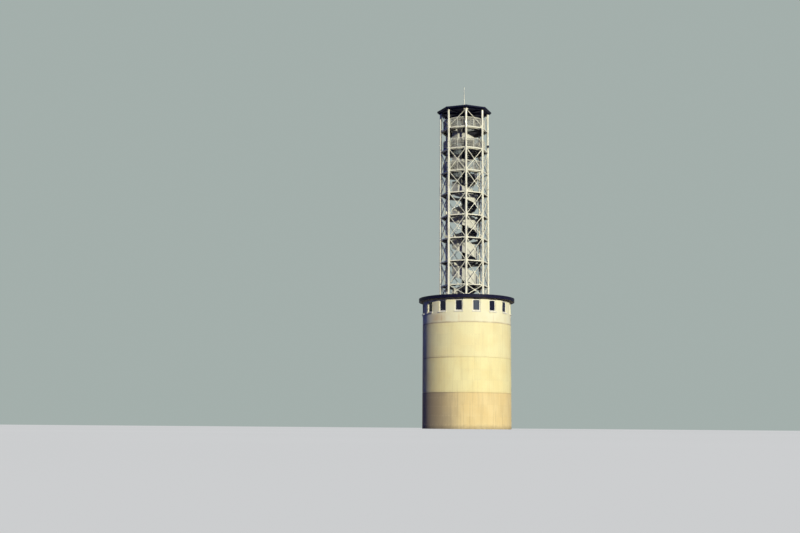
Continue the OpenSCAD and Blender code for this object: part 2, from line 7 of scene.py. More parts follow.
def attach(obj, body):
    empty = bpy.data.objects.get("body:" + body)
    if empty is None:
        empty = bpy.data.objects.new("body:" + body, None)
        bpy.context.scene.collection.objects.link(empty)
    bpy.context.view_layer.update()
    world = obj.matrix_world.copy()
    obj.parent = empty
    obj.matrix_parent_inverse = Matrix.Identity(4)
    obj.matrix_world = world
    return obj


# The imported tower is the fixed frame. Everything here is in metres, with the ground at
# zero, the drum's axis on the origin and the side that faces the viewer at -Y.
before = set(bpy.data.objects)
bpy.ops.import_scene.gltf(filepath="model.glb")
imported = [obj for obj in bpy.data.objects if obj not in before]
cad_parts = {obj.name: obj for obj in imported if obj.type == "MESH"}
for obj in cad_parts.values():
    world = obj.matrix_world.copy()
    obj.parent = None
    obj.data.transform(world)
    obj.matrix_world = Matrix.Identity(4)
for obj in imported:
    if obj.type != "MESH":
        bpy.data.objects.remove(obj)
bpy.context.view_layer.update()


# Drum wall. Three pours of concrete against curved panel forms, which left upright seams,
# level lines between the sheets and mortar plugs over the form ties. The lowest pour is
# browner and dirtier, and rain has run down from each joint.
class Wire:
    """One output among a tree's nodes, so that shading can be written as sums."""

    def __init__(self, nodes, socket):
        self.nodes = nodes
        self.socket = socket

    def sum(self, operation, a, b):
        return self.nodes.node("Math", {"operation": operation}, {0: a, 1: b})

    def __add__(self, other):
        return self.sum("ADD", self, other)

    def __radd__(self, other):
        return self.sum("ADD", other, self)

    def __sub__(self, other):
        return self.sum("SUBTRACT", self, other)

    def __rsub__(self, other):
        return self.sum("SUBTRACT", other, self)

    def __mul__(self, other):
        return self.sum("MULTIPLY", self, other)

    def __rmul__(self, other):
        return self.sum("MULTIPLY", other, self)

    def __truediv__(self, other):
        return self.sum("DIVIDE", self, other)

    def __mod__(self, other):
        return self.sum("FLOORED_MODULO", self, other)


class Nodes:
    """A tree of shading nodes. Each call of node adds a node and gives back its wire."""

    def __init__(self, tree):
        self.tree = tree

    def node(self, kind, settings, values, out=0):
        made = self.tree.nodes.new("ShaderNode" + kind)
        for key, value in settings.items():
            setattr(made, key, value)
        for key, value in values.items():
            if isinstance(value, Wire):
                self.tree.links.new(value.socket, made.inputs[key])
            elif isinstance(value, tuple) and len(value) == 3 and made.inputs[key].type == "RGBA":
                made.inputs[key].default_value = (*value, 1.0)
            else:
                made.inputs[key].default_value = value
        return Wire(self, made.outputs[out])


class Finish(Nodes):
    """A material in the making, with the measures of a surface that its shading starts from."""

    def __init__(self, name, metallic=0.0, coat=0.0, gloss=0.25):
        self.material = bpy.data.materials.new(name)
        self.material.use_nodes = True
        super().__init__(self.material.node_tree)
        self.shader = self.tree.nodes["Principled BSDF"]
        self.shader.inputs["Metallic"].default_value = metallic
        self.shader.inputs["Coat Weight"].default_value = coat
        self.shader.inputs["Specular IOR Level"].default_value = gloss
        self.place = self.node("TexCoord", {}, {}, "Object")
        self.facing = self.node("NewGeometry", {}, {}, "Normal")

    def part(self, vector, axis):
        return self.node("SeparateXYZ", {}, {0: vector}, axis)

    def stretched(self, x, y, z):
        """The place on the object, squeezed along each axis by the factors given."""
        return self.node("VectorMath", {"operation": "MULTIPLY"}, {0: self.place, 1: (x, y, z)})

    def noise(self, scale, detail=3.0, rough=0.55, at=None):
        return self.node("TexNoise", {}, {
            "Vector": at or self.place, "Scale": scale, "Detail": detail, "Roughness": rough})

    def size_of(self, value):
        return self.node("Math", {"operation": "ABSOLUTE"}, {0: value})

    def band(self, value, low, high):
        """0 below low and 1 above high, with a soft change between them."""
        if low > high:
            return 1 - self.band(value, high, low)
        return self.node("MapRange", {"interpolation_type": "SMOOTHSTEP"}, {
            0: value, 1: low, 2: high, 3: 0.0, 4: 1.0})

    def near(self, value, centre, reach):
        """1 at the centre of a band and 0 at its reach on either side."""
        return 1 - self.band(self.size_of(value - centre), 0.0, reach)

    def upward(self, low, high):
        """1 on faces that look up and 0 on upright ones."""
        return self.band(self.part(self.facing, "Z"), low, high)

    def runs(self, across, down, low, high, detail=4.0):
        """1 in the streaks that rain leaves on its way down, and 0 between them."""
        streaks = self.noise(1.0, detail, 0.6, self.stretched(across, across, down))
        return self.band(streaks, low, high)

    def mix(self, mask, a, b):
        return self.node("Mix", {"data_type": "RGBA"}, {0: mask, 6: a, 7: b}, 2)

    def tint(self, colour, factor):
        """A colour made lighter or darker by a factor that varies over the surface."""
        return self.node("VectorMath", {"operation": "SCALE"}, {0: colour, 3: factor})

    def turn(self):
        """The direction round the axis as seen from above, in degrees right of the front."""
        x = self.part(self.place, "X")
        y = self.part(self.place, "Y")
        return self.node("Math", {"operation": "ARCTAN2"}, {0: x, 1: 0 - y}) * math.degrees(1.0)

    def done(self, colour, rough, height=None, depth=0.01, strength=0.5):
        """The material, with its colour, roughness and the bumps that height gives."""
        self.tree.links.new(colour.socket, self.shader.inputs["Base Color"])
        if isinstance(rough, Wire):
            self.tree.links.new(rough.socket, self.shader.inputs["Roughness"])
        else:
            self.shader.inputs["Roughness"].default_value = rough
        if height is not None:
            bump = self.node("Bump", {}, {
                "Height": height, "Distance": depth, "Strength": strength})
            self.tree.links.new(bump.socket, self.shader.inputs["Normal"])
        return self.material


def dress(node, material):
    """Gives a node of the frame its finish."""
    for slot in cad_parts[node].material_slots:
        slot.material = material


def on_circle(radius, step, steps, z):
    """A point on a circle about the local Z, a number of equal steps round."""
    a = math.tau * step / steps
    return radius * math.cos(a), radius * math.sin(a), z


class Stock:
    """Gathers the corners and faces of like parts, which are then made as one piece."""

    def __init__(self):
        self.corners = []
        self.faces = []

    def add(self, place, corners, faces):
        first = len(self.corners)
        self.corners += [place @ Vector(c) for c in corners]
        self.faces += [[first + i for i in face] for face in faces]

    def block(self, place, x, y, z):
        """A rectangular bar; x, y and z are its two ends along each axis."""
        corners = [(x[i], y[j], z[k]) for k in (0, 1) for j in (0, 1) for i in (0, 1)]
        self.add(place, corners, [
            (0, 2, 3, 1), (4, 5, 7, 6), (0, 1, 5, 4), (2, 6, 7, 3), (0, 4, 6, 2), (1, 3, 7, 5)])

    def loops(self, place, rings, ends=True):
        """A skin over rings with the same number of corners; ends closes its two ends."""
        count = len(rings[0])
        last = (len(rings) - 1) * count
        faces = []
        for first in range(0, last, count):
            for i in range(count):
                a, b = first + i, first + (i + 1) % count
                faces.append((a, b, b + count, a + count))
        if ends:
            faces.append(tuple(range(count))[::-1])
            faces.append(tuple(range(last, last + count)))
        self.add(place, [c for ring in rings for c in ring], faces)

    def turned(self, place, profile, sides, ends=True):
        """A profile of radius and height turned about the local Z."""
        rings = [[on_circle(r, i, sides, z) for i in range(sides)] for r, z in profile]
        self.loops(place, rings, ends)

    def piece(self, name, slot, material, smooth=None):
        """Makes the piece; smooth is the angle up to which its edges are rounded off."""
        mesh = bpy.data.meshes.new(name)
        mesh.from_pydata(self.corners, [], self.faces)
        mesh.validate()
        mesh.materials.append(material)
        made = bpy.data.objects.new(name, mesh)
        bpy.context.scene.collection.objects.link(made)
        if smooth is not None:
            mesh.shade_smooth()
            mesh.set_sharp_from_angle(angle=math.radians(smooth))
        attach(made, "root")


def turned_to(degrees, radius=0.0, z=0.0):
    """A place on the circle round the axis, with its local X pointing outwards."""
    return Matrix.Rotation(math.radians(degrees), 4, "Z") @ Matrix.Translation((radius, 0.0, z))


DRUM_R = 5.0
POURS = (0.0, 3.95, 7.8, 11.6)
SHEETS = 3
PANELS = 42
PANEL_TURN = 360 / PANELS
SEAM_TURN = -16.2
FIRST_SEAM = -90 + SEAM_TURN


def poured_concrete(name, tones, span, dirt):
    """A pour's colour, from its light, warm and dark tones and the marks of its forms."""
    light, warm, dark = tones
    base_z, top_z = span
    f = Finish(name)
    z = f.part(f.place, "Z")
    turn = f.turn()
    panel = (turn - SEAM_TURN) / PANEL_TURN
    sheet = (z - base_z) / ((top_z - base_z) / SHEETS)
    whole = f.node("CombineXYZ", {}, {0: panel - panel % 1.0, 1: sheet - sheet % 1.0, 2: base_z})
    tone = f.node("TexWhiteNoise", {"noise_dimensions": "3D"}, {"Vector": whole})
    cloud = f.noise(0.45, 4.0)
    grain = f.noise(9.0, 6.0, 0.7)
    runs = f.runs(5.0, 0.22, 0.48, 0.72)
    fine_runs = f.runs(16.0, 0.5, 0.5, 0.8, 3.0)
    upper = f.band(z, top_z - 1.7, top_z)
    seam = f.near(panel % 1.0, 0.5, 0.035)
    joint = f.near(panel % 1.0, 0.0, 0.04) + f.near(panel % 1.0, 1.0, 0.04)
    level = f.near(sheet % 1.0, 0.0, 0.02) + f.near(sheet % 1.0, 1.0, 0.02)
    colour = f.mix(f.band(cloud, 0.36, 0.66), light, warm)
    colour = f.mix(runs * 0.4 * dirt + fine_runs * upper * 0.35 * dirt, colour, dark)
    # Joint marks and the darkening at a pour's ends grow stronger towards the left.
    stronger_left = 0.4 + 0.6 * f.band(turn, -5.0, -30.0)
    marks = joint * 0.2 + seam * 0.05 + level * 0.1
    colour = f.mix(marks * stronger_left * (0.6 + 0.6 * grain), colour, dark)
    foot = f.band(z, base_z + 0.4, base_z) * 0.14 + f.band(z, top_z - 0.1, top_z - 0.02) * 0.75
    colour = f.mix(foot * stronger_left * (0.55 + cloud * 0.8), colour, dark)
    shade = 0.95 + 0.06 * tone + 0.08 * (grain - 0.5)
    return f, f.tint(colour, shade), turn, z, grain, joint


def cast(name, tones, span, dirt):
    """A pour as it left the forms, with small air holes in its face."""
    f, colour, _, _, grain, joint = poured_concrete(name, tones, span, dirt)
    cells = f.node("TexVoronoi", {}, {"Vector": f.place, "Scale": 26.0}, "Distance")
    bumps = grain * 0.6 + f.band(cells, 0.0, 0.16) * 0.5 - joint * 0.4
    return f.done(colour, 0.82 + 0.12 * grain, bumps, 0.006, 0.6)


def lowest_pour():
    """The lowest pour, darker on the left and splashed at its foot."""
    tones = (0.87, 0.695, 0.35), (0.83, 0.64, 0.3), (0.26, 0.19, 0.13)
    f, colour, turn, z, grain, joint = poured_concrete("concrete_lowest", tones, POURS[:2], 0.5)
    # The left of the pour is made darker.
    darker_left = f.band(turn + 26 * f.noise(0.35, 3.0), 12.0, -26.0) * f.band(turn, -150.0, -100.0)
    colour = f.mix(darker_left * 0.62, colour, (0.2, 0.16, 0.14))
    splash = f.band(z + 0.5 * f.noise(2.2), 0.85, 0.15)
    colour = f.mix(splash * 0.5, colour, (0.17, 0.14, 0.1))
    return f.done(colour, 0.84 + 0.1 * grain, grain * 0.7 - joint * 0.4, 0.006, 0.6)


pour_finishes = (
    lowest_pour(),
    cast("concrete_middle", ((0.92, 0.825, 0.43), (0.89, 0.765, 0.375), (0.36, 0.25, 0.15)),
         POURS[1:3], 0.32),
    cast("concrete_upper", ((0.92, 0.835, 0.46), (0.9, 0.785, 0.41), (0.42, 0.31, 0.2)),
         POURS[2:], 0.3))
for node, finish in zip(("drum_wall_lower", "drum_wall_middle", "drum_wall_upper"), pour_finishes):
    dress(node, finish)
dress("drum_floors", cast(
    "concrete_floor", ((0.5, 0.48, 0.42), (0.44, 0.41, 0.35), (0.2, 0.18, 0.15)), (0.0, 12.0), 0.6))


# Mortar fins. Where two form panels met, a thin fin of mortar squeezed out and was rubbed
# down. They run up the upright joints and round the level ones of each pour.
FIN_ROOT = DRUM_R - 0.003
FIN_STEPS = 12
ROUND_STEPS = PANELS * 4
pour_slots = ("dark_concrete", "concrete", "concrete")
for n, (slot, finish) in enumerate(zip(pour_slots, pour_finishes)):
    chance = random.Random(40 + n)
    fins = Stock()
    base_z, top_z = POURS[n] + 0.04, POURS[n + 1] - 0.04
    for k in range(PANELS):
        rings = []
        for s in range(FIN_STEPS + 1):
            z = base_z + (top_z - base_z) * s / FIN_STEPS
            half = 0.006 + 0.004 * chance.random()
            proud = DRUM_R + (0.002 + 0.0025 * chance.random())
            slip = 0.0015 * (chance.random() - 0.5)
            rings.append([(FIN_ROOT, -half + slip, z), (FIN_ROOT, half + slip, z),
                          (proud, half * 0.3 + slip, z), (proud, -half * 0.3 + slip, z)])
        fins.loops(turned_to(FIRST_SEAM + k * PANEL_TURN), rings)
    for row in range(1, SHEETS):
        z = base_z + (top_z - base_z) * row / SHEETS
        rings = []
        for s in range(ROUND_STEPS + 1):
            proud = DRUM_R + 0.0012 + 0.0014 * chance.random()
            half = 0.004 + 0.002 * chance.random()
            rings.append([on_circle(r, s, ROUND_STEPS, z + up) for r, up in (
                (FIN_ROOT, -half), (proud, -half * 0.3), (proud, half * 0.3), (FIN_ROOT, half))])
        fins.loops(Matrix(), rings, ends=False)
    fins.piece("form_fins_%d" % (n + 1), slot, finish)


# Mortar plugs. They close the cones that the form ties left, four rows to a pour and two to
# a panel, and were pressed in just proud of the wall.
def plug_mortar():
    f = Finish("tie_plug")
    grain = f.noise(30.0, 4.0)
    return f.done(f.mix(grain, (0.84, 0.74, 0.43), (0.7, 0.58, 0.33)), 0.9, grain, 0.003)


PLUG = ((0.03, -0.004), (0.03, 0.0022), (0.026, 0.0026), (0.024, 0.0006), (0.0, 0.0004))
PLUG_ROWS = 4
FIRST_ROW = 0.42
ROW_PITCH = 1.0
OUTWARDS = Matrix.Rotation(math.radians(90), 4, "Y")
plugs = Stock()
for base_z in POURS[:3]:
    for row in range(PLUG_ROWS):
        for k in range(PANELS * 2):
            turn = FIRST_SEAM + (k + 0.5) * PANEL_TURN / 2
            place = turned_to(turn, DRUM_R, base_z + FIRST_ROW + row * ROW_PITCH) @ OUTWARDS
            plugs.turned(place, PLUG, 12, ends=False)
plugs.piece("tie_plugs", "concrete", plug_mortar(), smooth=40)


# Wall of the window storey. Brick and concrete under a smooth pale render, painted, with
# ochre stains where rain runs off the sills.
WINDOWS = 16
WINDOW_TURN = 360 / WINDOWS
FIRST_WINDOW = 12.6


def rendered_wall():
    f = Finish("pale_render")
    z = f.part(f.place, "Z")
    turn = f.turn()
    cloud = f.noise(0.7, 4.0)
    grain = f.noise(40.0, 4.0, 0.6)
    colour = f.mix(f.band(cloud, 0.4, 0.65), (0.93, 0.885, 0.61), (0.9, 0.84, 0.54))
    below = f.band(z, 12.85, 12.1) * f.band(z, 11.55, 11.9)
    window = (turn - FIRST_WINDOW) / WINDOW_TURN
    beside = f.near(window % 1.0, 0.0, 0.3) + f.near(window % 1.0, 1.0, 0.3)
    ochre = f.runs(6.0, 0.3, 0.46, 0.7) * below * beside
    stained = f.near(turn, -41.0, 17.0) * f.band(z, 12.95, 12.3) * f.band(z, 11.6, 12.0)
    colour = f.mix(ochre * 0.4 + stained * (0.35 + 0.4 * cloud), colour, (0.72, 0.5, 0.24))
    brown = f.band(z, 11.78, 11.6) * (0.4 + 0.6 * f.band(cloud, 0.4, 0.6))
    colour = f.mix(brown * 0.7, colour, (0.52, 0.38, 0.24))
    # Painted shade: a patchy dark band on the wall just under the slab's edge.
    under = f.band(z, 14.05, 14.3) * f.band(f.noise(2.0), 0.4, 0.7)
    colour = f.mix(under * 0.3, colour, (0.4, 0.36, 0.3))
    return f.done(f.tint(colour, 0.95 + 0.1 * (grain - 0.5)), 0.78 + 0.1 * cloud, grain, 0.003, 0.5)


render_finish = rendered_wall()
for node in ("window_parapet", "window_piers", "window_lintels"):
    dress(node, render_finish)


# Plaster beads. One runs up each side of every opening of the window storey, set in the
# render and standing just proud of it, and a short one crosses its head.
OPENING_HALF = 0.45
OPENING_Z = (12.81, 14.13)
BEAD_W = 0.03


def at_window(i):
    """The place of a window, on the axis with its local X pointing outwards through it."""
    return turned_to(FIRST_WINDOW - 90 + i * WINDOW_TURN)


beads = Stock()
for i in range(WINDOWS):
    place = at_window(i)
    face = math.sqrt(DRUM_R ** 2 - OPENING_HALF ** 2)
    for side in (-1, 1):
        across = sorted((side * OPENING_HALF, side * (OPENING_HALF + 0.035)))
        beads.block(place, (face - 0.03, face + 0.004), across,
                    (OPENING_Z[0] + BEAD_W, OPENING_Z[1] + BEAD_W))
    beads.block(place, (DRUM_R - 0.035, DRUM_R + 0.004), (-0.16, 0.16),
                (OPENING_Z[1], OPENING_Z[1] + BEAD_W))
beads.piece("opening_beads", "render", render_finish)


# Windows. White painted metal frames with an inner sash, rubber gaskets, a drip rail at the
# foot of each sash and pressed sills with turned-up ends.
def painted_metal(name, colour, dirt_colour, dirt, rough):
    f = Finish(name, coat=0.1)
    cloud = f.noise(2.2, 4.0)
    specks = f.noise(55.0, 3.0)
    film = f.band(cloud, 0.42, 0.72) * dirt + f.upward(0.4, 0.95) * dirt * 0.9
    painted = f.mix(film, colour, dirt_colour)
    painted = f.tint(painted, 0.96 + 0.08 * specks)
    return f.done(painted, rough + 0.18 * cloud, specks, 0.001, 0.25)


def gasket_rubber():
    f = Finish("gasket_rubber")
    return f.done(f.mix(f.noise(20.0), (0.02, 0.02, 0.022), (0.035, 0.034, 0.034)), 0.7)


window_paint = painted_metal("window_paint", (0.84, 0.82, 0.72), (0.5, 0.42, 0.28), 0.35, 0.35)
dress("window_frames", window_paint)
dress("window_sills", painted_metal(
    "sill_paint", (0.82, 0.79, 0.66), (0.46, 0.36, 0.22), 0.5, 0.4))

FRAME_FACE = 4.89
FRAME_BACK = 4.81
FRAME_Z = (12.84, 14.13)
FRAME_BAR = 0.075
SASH = ((0.0, -0.06), (0.0, 0.006), (0.006, 0.01), (0.038, 0.01),
        (0.05, -0.002), (0.054, -0.024), (0.054, -0.06))
GASKET = ((0.0, -0.028), (0.0, -0.018), (0.007, -0.017), (0.011, -0.025))
DRIP = ((0.0, 0.03), (0.012, 0.03), (0.036, 0.006), (0.036, -0.002), (0.03, -0.002), (0.0, 0.016))
SILL_END = ((4.935, 12.84), (5.068, 12.842), (5.068, 12.862), (4.99, 12.885), (4.935, 12.885))
HANDLE = (((-0.012, 0.01), (-0.045, -0.015), (13.42, 13.55)),
          ((-0.05, -0.012), (-0.038, -0.022), (13.475, 13.495)),
          ((-0.058, -0.042), (-0.038, -0.022), (13.36, 13.495)))


def mitred(stock, place, half_w, z0, z1, profile, face):
    """A moulding mitred round a rectangle; profile gives insets and depths from its face."""
    rings = []
    for inset, depth in profile:
        w, x = half_w - inset, face + depth
        rings.append([(x, -w, z0 + inset), (x, w, z0 + inset),
                      (x, w, z1 - inset), (x, -w, z1 - inset)])
    stock.loops(place, rings + [rings[0]], ends=False)


sashes, gaskets, drips, handles, ends = Stock(), Stock(), Stock(), Stock(), Stock()
for i in range(WINDOWS):
    place = at_window(i)
    half = OPENING_HALF - FRAME_BAR
    z0, z1 = FRAME_Z[0] + FRAME_BAR, FRAME_Z[1] - FRAME_BAR
    mitred(sashes, place, half + 0.012, z0 - 0.012, z1 + 0.012, SASH, FRAME_FACE)
    mitred(gaskets, place, half - 0.04, z0 + 0.04, z1 - 0.04, GASKET, FRAME_FACE)
    drips.loops(place, [[(FRAME_FACE + x, y, z0 + up) for x, up in DRIP]
                        for y in (-half + 0.01, half - 0.01)])
    for x, y, z in HANDLE:
        handles.block(place, (FRAME_BACK + x[0], FRAME_BACK + x[1]), (half + y[0], half + y[1]), z)
    for side in (-1, 1):
        y = side * (OPENING_HALF + 0.05)
        ends.loops(place, [[(x, across, z) for x, z in SILL_END]
                           for across in sorted((y, y - side * 0.006))])
sashes.piece("window_sashes", "white_paint", window_paint)
ends.piece("sill_ends", "white_paint", window_paint)
drips.piece("sash_drip_rails", "white_paint", window_paint)
gaskets.piece("window_gaskets", "dark_metal", gasket_rubber())
handles.piece("window_handles", "white_paint", window_paint)


# Window glass. Double units of glass, held in the sashes by the gaskets and dark grey-blue from
# outside. Each pane's colour is a little different, as a painted reflection, and one beside the
# front is paler.
def pane_glass():
    f = Finish("window_glass", gloss=0.38)
    f.shader.inputs["Transmission Weight"].default_value = 0.35
    window = (f.turn() - FIRST_WINDOW + WINDOW_TURN / 2) / WINDOW_TURN
    # Painted reflection: each pane's colour is shifted a little at random.
    tone = f.node("TexWhiteNoise", {"noise_dimensions": "1D"}, {"W": window - window % 1.0})
    pale = f.near(window, 0.5, 0.45)
    colour = f.mix(tone, (0.006, 0.006, 0.035), (0.014, 0.016, 0.065))
    colour = f.mix(pale * 0.75, colour, (0.16, 0.19, 0.24))
    dust = f.noise(14.0, 4.0)
    return f.done(colour, 0.05 + 0.06 * f.band(dust, 0.5, 0.8), f.noise(1.6, 2.0), 0.004, 0.12)


dress("window_glass", pane_glass())


# Drum roof. A concrete slab under black roofing felt laid in lapped strips, held all round
# by a folded edge of dark coated steel that hangs over the wall.
def slab():
    f = Finish("roof_slab")
    grain = f.noise(12.0, 5.0)
    cloud = f.noise(0.8, 4.0)
    felt = f.mix(cloud, (0.075, 0.078, 0.082), (0.12, 0.12, 0.118))
    soffit = f.mix(f.band(cloud, 0.4, 0.7), (0.5, 0.44, 0.33), (0.36, 0.3, 0.22))
    colour = f.tint(f.mix(f.upward(0.3, 0.8), soffit, felt), 0.9 + 0.2 * grain)
    return f.done(colour, 0.86, grain, 0.004, 0.5)


slab_finish = slab()
dress("drum_roof", slab_finish)


def dark_coat(name, colour, worn, rough):
    """A dark coated steel, chalky in streaks and on its upper faces."""
    f = Finish(name, gloss=0.12)
    cloud = f.noise(1.4, 4.0)
    specks = f.noise(70.0, 3.0)
    chalk = f.runs(9.0, 0.8, 0.5, 0.8, 3.0) * 0.25 + f.upward(0.4, 1.0) * 0.2
    coated = f.tint(f.mix(chalk * (0.5 + cloud), colour, worn), 0.9 + 0.2 * specks)
    return f.done(coated, rough + 0.2 * cloud, specks + cloud, 0.002, 0.3)


# The coat is near black; the blue in its colour is painted shade.
dark_metal = dark_coat("dark_coat_blue_painted_shade", (0.005, 0.005, 0.026), (0.018, 0.018, 0.036), 0.5)
dress("drum_roof_edge", dark_metal)

# The edge is folded in 24 lengths with a strap over each joint, and rolled at both rims.
EDGE_R = 5.43
EDGE_Z = (14.27, 14.63)
STRAPS = 24
STRAP_W = (-0.05, 0.05)
FIRST_STRAP = -82.5
ROLL_STEPS = 240
ROLL_CORNERS = (0.0, 1.05, 2.09, 3.14, 4.19, 5.24)
straps, edge_bead, felt_laps = Stock(), Stock(), Stock()
for i in range(STRAPS):
    place = turned_to(FIRST_STRAP + i * 360 / STRAPS)
    straps.block(place, (EDGE_R - 0.004, EDGE_R + 0.003), STRAP_W,
                 (EDGE_Z[0] + 0.004, EDGE_Z[1] - 0.002))
    straps.block(place, (EDGE_R - 0.09, EDGE_R + 0.003), STRAP_W,
                 (EDGE_Z[1] - 0.004, EDGE_Z[1] + 0.003))
for z in (EDGE_Z[0] - 0.003, EDGE_Z[1] + 0.003):
    rings = [[on_circle(EDGE_R - 0.0075 + 0.007 * math.cos(t), s, ROLL_STEPS,
                        z + 0.008 * math.sin(t)) for t in ROLL_CORNERS]
             for s in range(ROLL_STEPS)]
    edge_bead.loops(Matrix(), rings + [rings[0]], ends=False)
straps.piece("edge_joint_straps", "dark_metal", dark_metal)
edge_bead.piece("edge_beads", "dark_metal", dark_metal, smooth=50)

# Felt strips run from front to back, each lapped over the next.
ROOF_TOP = 14.56
FELT_R = 5.24
FELT_PITCH = 0.95
for i in range(-5, 6):
    x0 = max(i * FELT_PITCH - 0.475, -FELT_R + 0.02)
    x1 = min(i * FELT_PITCH + 0.535, FELT_R - 0.02)
    outline = []
    for s in range(9):
        x = x0 + (x1 - x0) * s / 8
        outline.append((x, -math.sqrt(FELT_R ** 2 - x * x)))
    outline += [(x, -y) for x, y in outline[::-1]]
    felt_laps.loops(Matrix(), [
        [(x, y, ROOF_TOP) for x, y in outline],
        [(x, y, ROOF_TOP + 0.004 + (0.003 if abs(x - x1) < 0.07 else 0.0)) for x, y in outline]])
felt_laps.piece("roof_felt", "dark_metal", slab_finish)


# Lattice. Eight tube posts on bolted foot plates, with level beams, crossed diagonals and
# joint plates in each flat side, all under pale paint that has greyed and begun to rust.
def painted_steel(name, clean, grey, rust):
    f = Finish(name, coat=0.08)
    cloud = f.noise(1.3, 4.0)
    runs = f.runs(10.0, 0.5, 0.5, 0.78)
    specks = f.noise(60.0, 3.0)
    blister = f.band(f.noise(16.0, 5.0, 0.65), 0.66, 0.74)
    aged = f.band(cloud, 0.42, 0.7) * 0.35 + runs * 0.3 + f.upward(0.5, 1.0) * 0.3
    painted = f.mix(blister * rust, f.mix(aged, clean, grey), (0.22, 0.09, 0.035))
    painted = f.tint(painted, 0.96 + 0.08 * specks)
    rough = 0.38 + 0.2 * cloud + 0.3 * blister
    return f.done(painted, rough, specks * 0.3 - blister, 0.002, 0.35)


POSTS = 8
tower_paint = painted_steel("tower_paint", (0.85, 0.83, 0.66), (0.55, 0.5, 0.38), 0.55)
for node in ["post_feet", "posts", "mast", "lookout_bracing"] + \
        ["lattice_side_%d" % (k + 1) for k in range(POSTS)]:
    dress(node, tower_paint)

# The tube in the middle, which carries the stair, is coloured dark grey.
dress("centre_column", dark_coat(
    "column_dark_grey", (0.02, 0.021, 0.032), (0.055, 0.053, 0.056), 0.5))

# The lattice stands a little left of the drum's axis, with one post almost at the front.
TOWER_X = -0.25
FIRST_POST = -85.5
POST_TURN = 360 / POSTS
POST_RING = 2.74
POST_R = 0.12
SIDE_R = POST_RING * math.cos(math.pi / POSTS)
HALF_SIDE = POST_RING * math.sin(math.pi / POSTS)
BASE_LEVEL = 14.9
LEVELS = [16.135, 18.86, 21.485, 24.11, 26.735, 29.26, 31.885]
BEAM_H = 0.12


def on_tower(degrees, radius=0.0, z=0.0):
    """A place on the circle round the lattice's axis, with its local X pointing outwards."""
    return Matrix.Translation((TOWER_X, 0.0, 0.0)) @ turned_to(degrees, radius, z)


def at_post(k, radius=0.0, z=0.0):
    """A place in the direction of a post, counted from the one at the front."""
    return on_tower(FIRST_POST + POST_TURN * k, radius, z)


def at_side(k, radius=0.0, z=0.0):
    """A place in the direction of the middle of a flat side."""
    return on_tower(FIRST_POST + POST_TURN / 2 + POST_TURN * k, radius, z)


def hex_bolt(stock, place, r, h, washer=True):
    """A bolt's head on its washer, along the local Z."""
    if washer:
        disc = [(r * 1.45, 0.0), (r * 1.45, h * 0.22), (0.0, h * 0.22)]
        stock.turned(place, disc, 12, ends=False)
    stock.turned(place, [(r, 0.0), (r, h * 0.9), (r * 0.86, h), (0.0, h)], 6, ends=False)


def zinc():
    """Zinc-coated bolts, brown with rust in places."""
    f = Finish("bolt_zinc", metallic=0.7)
    rusty = f.band(f.noise(9.0), 0.45, 0.7)
    return f.done(f.mix(rusty, (0.42, 0.41, 0.37), (0.22, 0.13, 0.07)), 0.55)


bolt_zinc = zinc()

# Each post is joined from lengths of tube by flanges, between the levels, with ten bolts.
HALF_FLANGE = [(POST_R - 0.01, 0.052), (POST_R + 0.004, 0.045), (POST_R + 0.012, 0.026),
               (POST_R + 0.062, 0.026), (POST_R + 0.065, 0.023), (POST_R + 0.065, 0.002)]
FLANGE = [(r, -z) for r, z in HALF_FLANGE] + [(POST_R + 0.06, 0.0)] + HALF_FLANGE[::-1]
FLANGE_UP = 0.75
FLANGE_T = 0.026
FLANGE_BOLTS = 10
FLANGE_BOLT_R = POST_R + 0.038
FOOT_PLATE = 0.04
FOOT_BOLT = 0.155
FOOT_ROD = ((0.012, 0.0), (0.012, 0.035), (0.009, 0.038), (0.0, 0.038))
FOOT_WELD = [(POST_R - 0.004, 0.012), (POST_R + 0.004, 0.01),
             (POST_R + 0.01, 0.004), (POST_R + 0.012, -0.001)]
flanges, flange_bolts, anchor_bolts, foot_welds = Stock(), Stock(), Stock(), Stock()
for k in range(POSTS):
    for level in LEVELS[::2]:
        place = at_post(k, POST_RING, level + FLANGE_UP)
        flanges.turned(place, FLANGE, 32, ends=False)
        for b in range(FLANGE_BOLTS):
            spot = place @ Matrix.Rotation(math.tau * (b + 0.5) / FLANGE_BOLTS, 4, "Z")
            head = spot @ Matrix.Translation((FLANGE_BOLT_R, 0, FLANGE_T))
            nut = spot @ Matrix.Translation((FLANGE_BOLT_R, 0, -FLANGE_T))
            hex_bolt(flange_bolts, head, 0.013, 0.014)
            hex_bolt(flange_bolts, nut @ Matrix.Rotation(math.pi, 4, "X"), 0.013, 0.018)
    foot = at_post(k, POST_RING, ROOF_TOP + FOOT_PLATE)
    for sx in (-1, 1):
        for sy in (-1, 1):
            nut = foot @ Matrix.Translation((sx * FOOT_BOLT, sy * FOOT_BOLT, 0))
            rod = foot @ Matrix.Translation((sx * FOOT_BOLT, sy * FOOT_BOLT, 0.03))
            hex_bolt(anchor_bolts, nut, 0.022, 0.03)
            anchor_bolts.turned(rod, FOOT_ROD, 10, ends=False)
    foot_welds.turned(foot, FOOT_WELD, 32, ends=False)
flanges.piece("post_flanges", "steel", tower_paint, smooth=35)
flange_bolts.piece("flange_bolts", "steel", bolt_zinc)
anchor_bolts.piece("foot_bolts", "steel", bolt_zinc)
foot_welds.piece("foot_welds", "steel", tower_paint, smooth=60)

